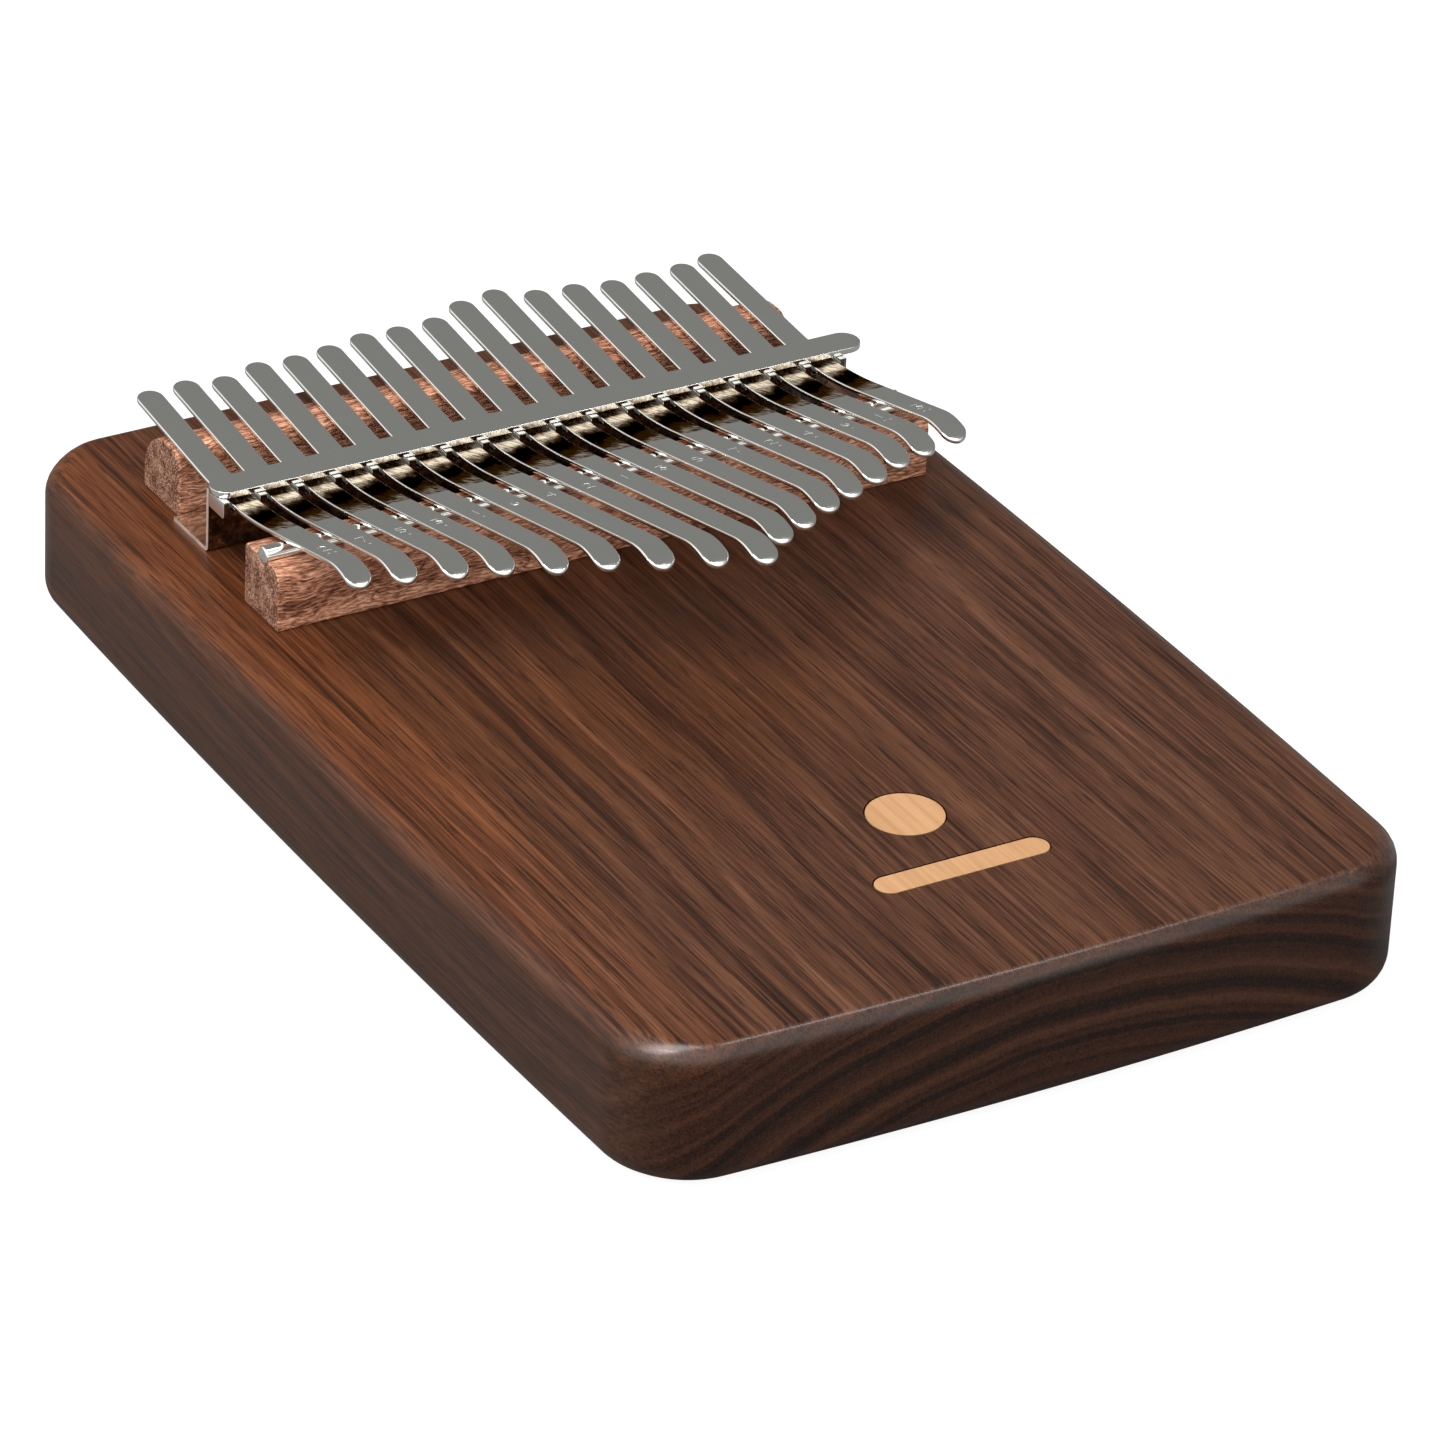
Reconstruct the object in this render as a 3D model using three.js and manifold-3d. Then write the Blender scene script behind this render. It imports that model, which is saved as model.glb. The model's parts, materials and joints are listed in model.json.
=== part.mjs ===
// A 17-tine kalimba: solid wooden board, two wooden bars, a folded steel bracket,
// a clamp strip, a bearing rod and seventeen spring-steel tines.
// Millimetres. +Z is up, +Y points to the rear ends of the tines, +X runs across them.
// The origin is the centre of the board's flat underside.
import * as THREE from 'three';
import { mergeVertices } from 'three/addons/utils/BufferGeometryUtils.js';
import Module from 'manifold-3d';

const wasm = await Module();
wasm.setup();

// ---------- driving dimensions ----------

const BOARD = {
  width: 134, length: 200, thickness: 23,
  sideBow: 1.8, frontBow: 1.9, cornerRadius: 13, topRound: 4.5, bottomRound: 6,
};
const TOP = BOARD.thickness; // height of the board's top face, which everything stands on

const REAR_BAR = {
  length: 108.2, centre: 1.1, front: 69.3, rear: 81.1, height: 10.95, frontRound: 3, rearRound: 7.5,
};
const FRONT_BAR = {
  length: 114, centre: 1.3, front: 31.3, rear: 42.1, height: 10.3, frontRound: 2.4, rearRound: 0.6,
};
const ROD = { length: 111, centre: -0.2, radius: 1.5, y: 36.5, height: 10.6, grooveGap: 0.15 };

const BRACKET = {
  length: 109.8, centre: 1.05, sheet: 0.7, wallFront: 57.6, flangeRear: 69, height: 11, foldRadius: 1.2,
};
const ANVIL = { front: 52.6, bottom: 8.2, edgeRound: 0.6 };
const STRIP = { length: 114.3, centre: 2.95, front: 53.6, rear: 59, lift: 0.05, thickness: 1 };
const SLOT = { sideGap: 0.35, floor: 9.45 }; // the slots that the tines pass through

const TINE = {
  count: 17, centre: 1, pitch: 6.4, width: 4.35, thickness: 0.8,
  rearSlope: 0.1125, frontSlope: 0.22, // how steeply the top rises to each side of the clamp
  valleyY: 52.6, valleyHeight: 9.6, // where the two slopes would meet
  blend: 11, // half the length of the curve between them
  tipBend: 7.5, tipCurve: 0.05, // the playing end's downward curve
  splitGap: 0.2, // between the clamped length and the playing length, over the rod
};
// The tuned ends of the tines, left to right.
const TIP_Y = [14.9, 12.3, 9, 5.9, 1.3, -2.2, -7.2, -11.4, -15.1, -8.6, -4.8, -0.5, 3, 6.5, 10.5, 13, 15.7];
const REAR_Y = [
  86.3, 86.8, 85.7, 87.3, 86.9, 87.5, 88.6, 88.3, 88.5, 91.2, 92.2, 89.7, 89, 87.8, 87.8, 88, 89,
];
// How far each one is turned about its clamp, in degrees, tip towards +X.
const TURN = [0.1, 0, 0.5, 0.1, 0.2, 0.5, 0.4, 0.7, 0.5, 0.7, 0.6, 1, 0.8, 1, 1.2, 0.9, 2.3];
const TURN_Y = 56;

const INLAY = {
  centre: 1.8, depth: 1.6, gap: 0.1,
  discRadius: 5.9, discY: -55.2, barLength: 29, barWidth: 4.6, barY: -71,
};
const SCREW = {
  y: 64.3, across: [-46, -16, 16, 46], reach: 12, holeGap: 0.1, holeSpare: 0.5,
  headRadius: 2.1, headHeight: 1.2, headSide: 0.6, // the upright part of the head's edge
  domeRadius: 1.47, domeDrop: 0.12, // where the dome starts to fall away
  shankRadius: 1.1, tipRadius: 0.55, tipLength: 0.8, taperLength: 2,
};

// How many straight pieces stand for a curve, and how far a cutting tool overshoots a face.
const SEGMENTS = { tiny: 4, small: 5, hole: 6, round: 8, inlay: 10, screw: 16, rod: 24 };
const OVERSHOOT = 1;

// ---------- materials ----------

const walnut = () => new THREE.MeshStandardMaterial({ color: 0x5e3e30, roughness: 0.5, metalness: 0 });
const maple = () => new THREE.MeshStandardMaterial({ color: 0xe6b987, roughness: 0.5, metalness: 0 });
const redwood = () => new THREE.MeshStandardMaterial({ color: 0xa9694f, roughness: 0.65, metalness: 0 });
const steel = () => new THREE.MeshStandardMaterial({ color: 0xb9b9b4, roughness: 0.15, metalness: 1 });

// ---------- solids ----------

function toSolid(geometry) {
  const bare = geometry.clone();
  bare.deleteAttribute('normal');
  bare.deleteAttribute('uv');
  const merged = mergeVertices(bare, 1e-4);
  return new wasm.Manifold(new wasm.Mesh({
    numProp: 3,
    vertProperties: new Float32Array(merged.attributes.position.array),
    triVerts: new Uint32Array(merged.index.array),
  }));
}

function toGeometry(solid) {
  const mesh = solid.getMesh();
  const geometry = new THREE.BufferGeometry();
  geometry.setAttribute('position', new THREE.BufferAttribute(new Float32Array(mesh.vertProperties), 3));
  geometry.setIndex(new THREE.BufferAttribute(new Uint32Array(mesh.triVerts), 1));
  geometry.computeVertexNormals();
  return geometry;
}

function cut(geometry, tools) {
  const result = tools.reduce((solid, tool) => solid.subtract(toSolid(tool)), toSolid(geometry));
  return toGeometry(result);
}

function common(a, b) {
  return toGeometry(toSolid(a).intersect(toSolid(b)));
}

function box(xRange, yRange, zRange) {
  const [x, y, z] = [xRange, yRange, zRange].map(
    ([low, high]) => ({ size: high - low, middle: (low + high) / 2 }),
  );
  return new THREE.BoxGeometry(x.size, y.size, z.size).translate(x.middle, y.middle, z.middle);
}

// A side profile, drawn in Y and Z, drawn out along X around a centre.
function alongX(profile, length, centre, curveSegments = SEGMENTS.round) {
  const geometry = new THREE.ExtrudeGeometry(profile, { depth: length, bevelEnabled: false, curveSegments });
  const turn = new THREE.Matrix4().makeBasis(
    new THREE.Vector3(0, 1, 0), new THREE.Vector3(0, 0, 1), new THREE.Vector3(1, 0, 0),
  );
  return geometry.applyMatrix4(turn).translate(centre - length / 2, 0, 0);
}

// A plan outline, drawn in X and Y, drawn upwards from one height to another.
function upwards(plan, low, high, curveSegments = SEGMENTS.round) {
  const geometry = new THREE.ExtrudeGeometry(plan, { depth: high - low, bevelEnabled: false, curveSegments });
  return geometry.translate(0, 0, low);
}

// A flat bar with full-round ends, long in X or in Y.
function stadium(x, y, lengthX, lengthY) {
  const radius = Math.min(lengthX, lengthY) / 2;
  const dx = lengthX / 2 - radius;
  const dy = lengthY / 2 - radius;
  const quarter = Math.PI / 2;
  const shape = new THREE.Shape();
  shape.absarc(x + dx, y + dy, radius, 0, quarter);
  shape.absarc(x - dx, y + dy, radius, quarter, 2 * quarter);
  shape.absarc(x - dx, y - dy, radius, 2 * quarter, 3 * quarter);
  shape.absarc(x + dx, y - dy, radius, 3 * quarter, 4 * quarter);
  return shape;
}

function disc(x, y, radius) {
  return new THREE.Shape().absarc(x, y, radius, 0, 2 * Math.PI);
}

// ---------- board ----------

// The board's outline, pulled in by an inset, with its bowed sides and front end.
function boardRing(inset, z) {
  const halfX = BOARD.width / 2 - BOARD.sideBow;
  const halfY = (BOARD.length - BOARD.frontBow) / 2;
  const middleY = BOARD.frontBow / 2;
  const radius = BOARD.cornerRadius - inset;
  const cornerX = halfX - BOARD.cornerRadius;
  const cornerY = halfY - BOARD.cornerRadius;
  const cornerSteps = 8;
  const sideSteps = 7;
  const corners = [[1, 1], [-1, 1], [-1, -1], [1, -1]];
  const points = corners.flatMap(([sx, sy], i) => Array.from({ length: cornerSteps + 1 }, (_, step) => {
    const angle = (i + step / cornerSteps) * Math.PI / 2;
    return [sx * cornerX + radius * Math.cos(angle), sy * cornerY + radius * Math.sin(angle)];
  }));
  const ring = [];
  points.forEach(([x, y], i) => {
    const [nextX, nextY] = points[(i + 1) % points.length];
    const steps = (i + 1) % (cornerSteps + 1) === 0 ? sideSteps : 1;
    for (let step = 0; step < steps; step += 1) {
      const px = x + (nextX - x) * step / steps;
      const py = y + (nextY - y) * step / steps;
      const bowX = BOARD.sideBow * (1 - (py / halfY) ** 2) * px / halfX;
      const bowY = py < 0 ? BOARD.frontBow * (1 - (px / halfX) ** 2) * py / halfY : 0;
      ring.push(new THREE.Vector3(px + bowX, py + bowY + middleY, z));
    }
  });
  return ring;
}

// A closed solid through a stack of rings, lowest first.
function stackRings(rings) {
  const count = rings[0].length;
  const positions = rings.flat().flatMap((point) => point.toArray());
  const low = rings.length * count;
  positions.push(0, 0, rings[0][0].z, 0, 0, rings.at(-1)[0].z);
  const index = [];
  for (let i = 0; i < count; i += 1) {
    const next = (i + 1) % count;
    for (let level = 0; level < rings.length - 1; level += 1) {
      const a = level * count + i;
      const b = level * count + next;
      index.push(a, b, b + count, a, b + count, a + count);
    }
    const top = (rings.length - 1) * count;
    index.push(low, next, i, low + 1, top + i, top + next);
  }
  const geometry = new THREE.BufferGeometry();
  geometry.setAttribute('position', new THREE.Float32BufferAttribute(positions, 3));
  geometry.setIndex(index);
  return geometry;
}

function inlayPlans(grow) {
  const { centre, discRadius, discY, barLength, barWidth, barY } = INLAY;
  return {
    inlay_disc: disc(centre, discY, discRadius + grow),
    inlay_bar: stadium(centre, barY, barLength + 2 * grow, barWidth + 2 * grow),
  };
}

function screwHoles(low, high) {
  return SCREW.across.map((x) => upwards(
    disc(x, SCREW.y, SCREW.shankRadius + SCREW.holeGap), low, high, SEGMENTS.hole,
  ));
}

function boardGeometry() {
  const steps = SEGMENTS.tiny;
  const quarterTurn = (step) => step / steps * Math.PI / 2;
  const lower = Array.from({ length: steps + 1 }, (_, step) => {
    const angle = quarterTurn(step);
    return boardRing(BOARD.bottomRound * (1 - Math.sin(angle)), BOARD.bottomRound * (1 - Math.cos(angle)));
  });
  const upper = Array.from({ length: steps + 1 }, (_, step) => {
    const angle = quarterTurn(steps - step);
    return boardRing(BOARD.topRound * (1 - Math.sin(angle)), TOP - BOARD.topRound * (1 - Math.cos(angle)));
  });
  const recesses = Object.values(inlayPlans(INLAY.gap))
    .map((plan) => upwards(plan, TOP - INLAY.depth, TOP + OVERSHOOT, SEGMENTS.inlay));
  const holes = screwHoles(TOP - SCREW.reach - SCREW.holeSpare, TOP + OVERSHOOT);
  return cut(stackRings([...lower, ...upper]), [...recesses, ...holes]);
}

// ---------- wooden bars and the rod ----------

// An upright block's side profile with its two top edges rounded.
function barProfile({ front, rear, height, frontRound, rearRound }) {
  const top = TOP + height;
  const shape = new THREE.Shape();
  shape.moveTo(front, TOP);
  shape.lineTo(rear, TOP);
  shape.lineTo(rear, top - rearRound);
  shape.absarc(rear - rearRound, top - rearRound, rearRound, 0, Math.PI / 2);
  shape.absarc(front + frontRound, top - frontRound, frontRound, Math.PI / 2, Math.PI);
  shape.closePath();
  return shape;
}

function rodGeometry(radius, length) {
  return new THREE.CylinderGeometry(radius, radius, length, SEGMENTS.rod)
    .rotateZ(Math.PI / 2)
    .translate(ROD.centre, ROD.y, TOP + ROD.height);
}

function frontBarGeometry() {
  const block = alongX(barProfile(FRONT_BAR), FRONT_BAR.length, FRONT_BAR.centre, SEGMENTS.small);
  const grooveLength = FRONT_BAR.length + 2 * (FRONT_BAR.centre - ROD.centre + OVERSHOOT);
  return cut(block, [rodGeometry(ROD.radius + ROD.grooveGap, grooveLength)]);
}

// ---------- tines ----------

const tineX = (n) => TINE.centre + (n - (TINE.count - 1) / 2) * TINE.pitch;

// Height of a tine's top face above the board: two slopes joined by a parabola.
function tineHeight(y) {
  const { valleyY, valleyHeight, blend, rearSlope, frontSlope } = TINE;
  const d = y - valleyY;
  if (d > blend) return valleyHeight + rearSlope * d;
  if (d < -blend) return valleyHeight - frontSlope * d;
  const curve = (rearSlope + frontSlope) / (4 * blend);
  return valleyHeight + curve * (d + blend) ** 2 - frontSlope * d;
}

// The same height, with the playing end curving down from tipY + tipBend to tipY.
function topHeight(y, tipY) {
  const past = Math.max(0, tipY + TINE.tipBend - y);
  return tineHeight(y) - TINE.tipCurve * past ** 2;
}

// The stations along a tine, closer together where it curves.
function stations(from, to, tipY) {
  const { valleyY, blend, tipBend } = TINE;
  const curved = (low, high, steps) => Array.from(
    { length: steps + 1 }, (_, i) => low + (high - low) * i / steps,
  );
  const inside = [
    ...curved(tipY, tipY + tipBend, SEGMENTS.hole),
    ...curved(valleyY - blend, valleyY + blend, SEGMENTS.round),
  ];
  const apart = 0.01; // stations closer than this are the same one
  return [from, ...inside.filter((y) => y > from + apart && y < to - apart), to];
}

function tineGeometry(n, from, to) {
  const tipY = TIP_Y[n];
  const ys = stations(from, to, tipY);
  const top = ys.map((y) => new THREE.Vector2(y, TOP + topHeight(y, tipY)));
  const bottom = ys.map((y) => new THREE.Vector2(y, TOP + topHeight(y, tipY) - TINE.thickness));
  const profile = new THREE.Shape([...bottom, ...top.reverse()]);
  const side = alongX(profile, TINE.width + OVERSHOOT, tineX(n));
  const length = REAR_Y[n] - tipY;
  const plan = stadium(tineX(n), tipY + length / 2, TINE.width, length);
  return common(side, upwards(plan, TOP, 2 * TOP, SEGMENTS.hole))
    .translate(-tineX(n), -TURN_Y, 0)
    .rotateZ(THREE.MathUtils.degToRad(TURN[n]))
    .translate(tineX(n), TURN_Y, 0);
}

const rootGeometry = (n) => tineGeometry(n, ROD.y + TINE.splitGap / 2, REAR_Y[n]);
const tongueGeometry = (n) => tineGeometry(n, TIP_Y[n], ROD.y - TINE.splitGap / 2);

// ---------- steel bracket, anvil bar, clamp strip and screws ----------

// Boxes that clear a slot around every tine, open at the top.
function tineSlots(yRange) {
  const half = TINE.width / 2 + SLOT.sideGap;
  return Array.from({ length: TINE.count }, (_, n) => box(
    [tineX(n) - half, tineX(n) + half], yRange, [TOP + SLOT.floor, TOP + BRACKET.height + OVERSHOOT],
  ));
}

function bracketProfile() {
  const { sheet, wallFront, flangeRear, height, foldRadius } = BRACKET;
  const shape = new THREE.Shape();
  shape.moveTo(flangeRear, TOP);
  shape.lineTo(flangeRear, TOP + sheet);
  shape.lineTo(wallFront + sheet, TOP + sheet);
  shape.lineTo(wallFront + sheet, TOP + height);
  shape.lineTo(wallFront, TOP + height);
  shape.lineTo(wallFront, TOP + foldRadius);
  shape.absarc(wallFront + foldRadius, TOP + foldRadius, foldRadius, Math.PI, 1.5 * Math.PI);
  shape.closePath();
  return shape;
}

function bracketGeometry() {
  const { wallFront, sheet } = BRACKET;
  const holes = screwHoles(TOP - OVERSHOOT, TOP + sheet + OVERSHOOT);
  const slots = tineSlots([wallFront - OVERSHOOT, wallFront + sheet + OVERSHOOT]);
  const sheetMetal = alongX(bracketProfile(), BRACKET.length, BRACKET.centre, SEGMENTS.tiny);
  return cut(sheetMetal, [...slots, ...holes]);
}

function anvilGeometry() {
  const { front, bottom, edgeRound } = ANVIL;
  const rear = BRACKET.wallFront;
  const shape = new THREE.Shape();
  shape.moveTo(rear, TOP + BRACKET.height);
  shape.lineTo(front, TOP + BRACKET.height);
  shape.absarc(front + edgeRound, TOP + bottom + edgeRound, edgeRound, Math.PI, 1.5 * Math.PI);
  shape.lineTo(rear, TOP + bottom);
  shape.closePath();
  const bar = alongX(shape, BRACKET.length, BRACKET.centre, SEGMENTS.tiny);
  return cut(bar, tineSlots([front - OVERSHOOT, rear + OVERSHOOT]));
}

function stripGeometry() {
  const { length, centre, front, rear, thickness } = STRIP;
  const plan = stadium(centre, (front + rear) / 2, length, rear - front);
  const underside = TOP + BRACKET.height + STRIP.lift;
  return upwards(plan, underside, underside + thickness);
}

// A pan-head screw on its own axis, head resting on the flange.
function screwGeometry() {
  const seat = TOP + BRACKET.sheet;
  const point = TOP - SCREW.reach;
  const crown = seat + SCREW.headHeight;
  const profile = [
    [0, point], [SCREW.tipRadius, point + SCREW.tipLength],
    [SCREW.shankRadius, point + SCREW.taperLength], [SCREW.shankRadius, seat],
    [SCREW.headRadius, seat], [SCREW.headRadius, seat + SCREW.headSide],
    [SCREW.domeRadius, crown - SCREW.domeDrop], [0, crown],
  ].map(([r, z]) => new THREE.Vector2(r, z));
  return new THREE.LatheGeometry(profile, SEGMENTS.screw).rotateX(Math.PI / 2);
}

// ---------- the kalimba ----------

const kalimba = new THREE.Group();

function add(name, geometry, material) {
  const mesh = new THREE.Mesh(geometry, material);
  mesh.name = name;
  kalimba.add(mesh);
  return mesh;
}

add('board', boardGeometry(), walnut());
Object.entries(inlayPlans(0)).forEach(([name, plan]) => {
  add(name, upwards(plan, TOP - INLAY.depth, TOP, SEGMENTS.inlay), maple());
});
add('rear_bar', alongX(barProfile(REAR_BAR), REAR_BAR.length, REAR_BAR.centre), redwood());
add('front_bar', frontBarGeometry(), redwood());
add('front_rod', rodGeometry(ROD.radius, ROD.length), steel());
add('bracket', bracketGeometry(), steel());
add('anvil_bar', anvilGeometry(), steel());
add('clamp_strip', stripGeometry(), steel());
SCREW.across.forEach((x, i) => {
  add(`bracket_screw_${i + 1}`, screwGeometry(), steel()).position.set(x, SCREW.y, 0);
});
for (let n = 0; n < TINE.count; n += 1) {
  add(`tine_${n + 1}_root`, rootGeometry(n), steel());
  add(`tine_${n + 1}_tongue`, tongueGeometry(n), steel());
}

export default kalimba;
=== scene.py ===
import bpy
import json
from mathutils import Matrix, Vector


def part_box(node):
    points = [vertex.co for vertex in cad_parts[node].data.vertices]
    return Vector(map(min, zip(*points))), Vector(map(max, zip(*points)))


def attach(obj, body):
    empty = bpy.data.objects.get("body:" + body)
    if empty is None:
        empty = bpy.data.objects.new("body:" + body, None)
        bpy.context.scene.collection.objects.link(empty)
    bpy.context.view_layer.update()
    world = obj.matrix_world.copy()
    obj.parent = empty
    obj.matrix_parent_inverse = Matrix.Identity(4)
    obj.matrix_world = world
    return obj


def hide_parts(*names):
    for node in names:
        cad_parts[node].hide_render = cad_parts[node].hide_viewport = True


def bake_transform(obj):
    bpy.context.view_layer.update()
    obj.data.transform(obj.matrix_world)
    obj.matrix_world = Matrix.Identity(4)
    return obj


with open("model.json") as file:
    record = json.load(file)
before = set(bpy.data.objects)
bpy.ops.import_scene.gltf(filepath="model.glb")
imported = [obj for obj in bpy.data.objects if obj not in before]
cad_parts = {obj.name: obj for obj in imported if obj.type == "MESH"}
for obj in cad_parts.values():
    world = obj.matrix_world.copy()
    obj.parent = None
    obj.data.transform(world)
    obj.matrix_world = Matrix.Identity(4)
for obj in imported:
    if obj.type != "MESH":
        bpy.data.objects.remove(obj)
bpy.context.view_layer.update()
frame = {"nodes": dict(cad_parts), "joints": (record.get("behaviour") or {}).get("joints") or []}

import json
import math

import bmesh
import bpy
from mathutils import Matrix, Vector

MM = 0.001

# ---------- shapes, in metres ----------

BOARD_LOW, BOARD_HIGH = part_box("board")
TOP = BOARD_HIGH.z
BOW_SIDE, BOW_FRONT = 1.8 * MM, 1.9 * MM  # how far the middle of a side stands out
CORNER = 13 * MM
ROUND_SIDE, ROUND_END, ROUND_BELOW = 5.5 * MM, 3.0 * MM, 4.2 * MM
INLAY_GAP, INLAY_EDGE = 0.22 * MM, 0.12 * MM

TINES = 17
TINE_WIDTH, TINE_THICKNESS, TINE_EDGE = 4.35 * MM, 0.8 * MM, 0.26 * MM
REAR_SLOPE, FRONT_SLOPE = 0.1125, 0.22
VALLEY_Y, VALLEY_HEIGHT, VALLEY_BLEND = 52.6 * MM, 9.6 * MM, 11 * MM
TIP_BEND, TIP_CURVE = 7.5 * MM, 50.0  # the curve is in 1/m
# Each tine's turn in degrees about the point TURN_Y of its axis, from left to right.
TURN = [0.1, 0, 0.5, 0.1, 0.2, 0.5, 0.4, 0.7, 0.5, 0.7, 0.6, 1, 0.8, 1, 1.2, 0.9, 2.3]
TURN_Y = 56 * MM
PIVOTS = [Vector(joint["pos_m"]) for joint in frame["joints"]]
PITCH = 6.4 * MM
ROD_Y = PIVOTS[0].y
BENT_FRONT, BENT_REAR = 39.5 * MM, 55.25 * MM  # the tines' bent length, with its dark reflections

SHEET, SHEET_BEND, SHEET_EDGE = 0.7 * MM, 1.2 * MM, 0.14 * MM
SCREW_HOLE = 1.25 * MM
SLOT_GAP, SLOT_FLOOR = 0.35 * MM, 9.45 * MM
ANVIL_FOOT, ANVIL_EDGE, ANVIL_GAP = 0.6 * MM, 0.16 * MM, 0.02 * MM
STRIP_EDGE_TOP, STRIP_EDGE_BELOW = 0.11 * MM, 0.15 * MM

SAPWOOD_FROM, SAPWOOD_TO = -45 * MM, -55 * MM  # the board's paler left edge
FLOOR_REACH = 3.0
CAMERA_AZIMUTH, CAMERA_ELEVATION, CAMERA_ROLL = -31.67, 30.25, 2.9  # degrees
CAMERA_DISTANCE, CAMERA_LENS, CAMERA_SENSOR = 1.2045, 203.5, 36
CAMERA_AIM = Vector((-8.98 * MM, -21.0 * MM, TOP))


# ---------- mesh helpers ----------

def make(name, points, faces, material, sharp=38):
    mesh = bpy.data.meshes.new(name)
    mesh.from_pydata([tuple(p) for p in points], [], faces)
    obj = bpy.data.objects.new(name, mesh)
    bpy.context.scene.collection.objects.link(obj)
    if material:
        mesh.materials.append(material)
    return finish_mesh(obj, sharp)


def finish_mesh(obj, sharp=38):
    """Faces out, smooth shading, and hard edges above an angle in degrees."""
    mesh = obj.data
    bm = bmesh.new()
    bm.from_mesh(mesh)
    bmesh.ops.recalc_face_normals(bm, faces=bm.faces)
    for face in bm.faces:
        face.smooth = True
    for edge in bm.edges:
        edge.smooth = edge.calc_face_angle(0) < math.radians(sharp)
    bm.to_mesh(mesh)
    bm.free()
    return obj


def apply_modifier(obj, kind, **settings):
    modifier = obj.modifiers.new(kind.lower(), kind)
    for key, value in settings.items():
        setattr(modifier, key, value)
    bpy.context.view_layer.objects.active = obj
    with bpy.context.temp_override(object=obj, active_object=obj, selected_objects=[obj]):
        bpy.ops.object.modifier_apply(modifier=modifier.name)
    return obj


def flat_normals(obj):
    return apply_modifier(obj, "WEIGHTED_NORMAL", mode="FACE_AREA", weight=60, keep_sharp=True)


def carve(obj, cutters):
    for cutter in cutters:
        apply_modifier(obj, "BOOLEAN", operation="DIFFERENCE", solver="EXACT", object=cutter)
        bpy.data.objects.remove(cutter)
    return obj


def bevel(obj, width, segments=2, angle=40):
    apply_modifier(obj, "BEVEL", width=width, segments=segments, limit_method="ANGLE",
                   angle_limit=math.radians(angle), use_clamp_overlap=True, miter_outer="MITER_ARC")
    return finish_mesh(obj)


def loft(rings):
    """Points and faces through closed rings of equal length, with both ends closed."""
    count = len(rings[0])
    points = [p for ring in rings for p in ring]
    faces = []
    for level in range(len(rings) - 1):
        base = level * count
        for i in range(count):
            j = (i + 1) % count
            faces.append((base + i, base + j, base + count + j, base + count + i))
    faces.append(tuple(reversed(range(count))))
    faces.append(tuple(range((len(rings) - 1) * count, len(rings) * count)))
    return points, faces


def inset(outline, distance):
    """A closed, counter-clockwise 2-D outline moved inwards."""
    moved = []
    for i, point in enumerate(outline):
        here = Vector(point)
        before = (here - Vector(outline[i - 1])).normalized()
        after = (Vector(outline[(i + 1) % len(outline)]) - here).normalized()
        inward = Vector((-before.y - after.y, before.x + after.x)).normalized()
        scale = distance / max(0.35, inward.dot(Vector((-after.y, after.x))))
        moved.append(here + inward * scale)
    return moved


def arc(centre, radius, start, end, steps):
    angles = [math.radians(start + (end - start) * i / steps) for i in range(steps + 1)]
    return [(centre[0] + radius * math.cos(a), centre[1] + radius * math.sin(a)) for a in angles]


def prism(outline, low, high, edge=0.0, steps=3):
    """Points and faces of a side outline (y, z) drawn out along X, with rounded end edges."""
    if not edge:
        return loft([[(x, y, z) for y, z in outline] for x in (low, high)])
    turns = [math.pi / 2 * i / steps for i in range(steps + 1)]
    ends = [(edge * (1 - math.sin(t)), edge * (1 - math.cos(t))) for t in turns]
    rings = [[(low + depth, y, z) for y, z in inset(outline, d)] for d, depth in ends]
    rings += [[(high - depth, y, z) for y, z in inset(outline, d)] for d, depth in reversed(ends)]
    return loft(rings)


def box_cutter(x, y, z):
    outline = [(y[0], z[0]), (y[1], z[0]), (y[1], z[1]), (y[0], z[1])]
    return make("cutter", *prism(outline, *x), None)


def upright(outline, low, high):
    """Points and faces of a plan outline (x, y) drawn up from low to high."""
    return loft([[(x, y, z) for x, y in outline] for z in (low, high)])


def stadium(low, high, steps=16):
    """A plan outline with full-round ends that fills a box, long in X."""
    radius = (high.y - low.y) / 2
    middle = (high.y + low.y) / 2
    right = arc((high.x - radius, middle), radius, -90, 90, steps)
    left = arc((low.x + radius, middle), radius, 90, 270, steps)
    whole_disc = high.x - low.x < 2.02 * radius
    return right + (left[1:-1] if whole_disc else left)


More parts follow.
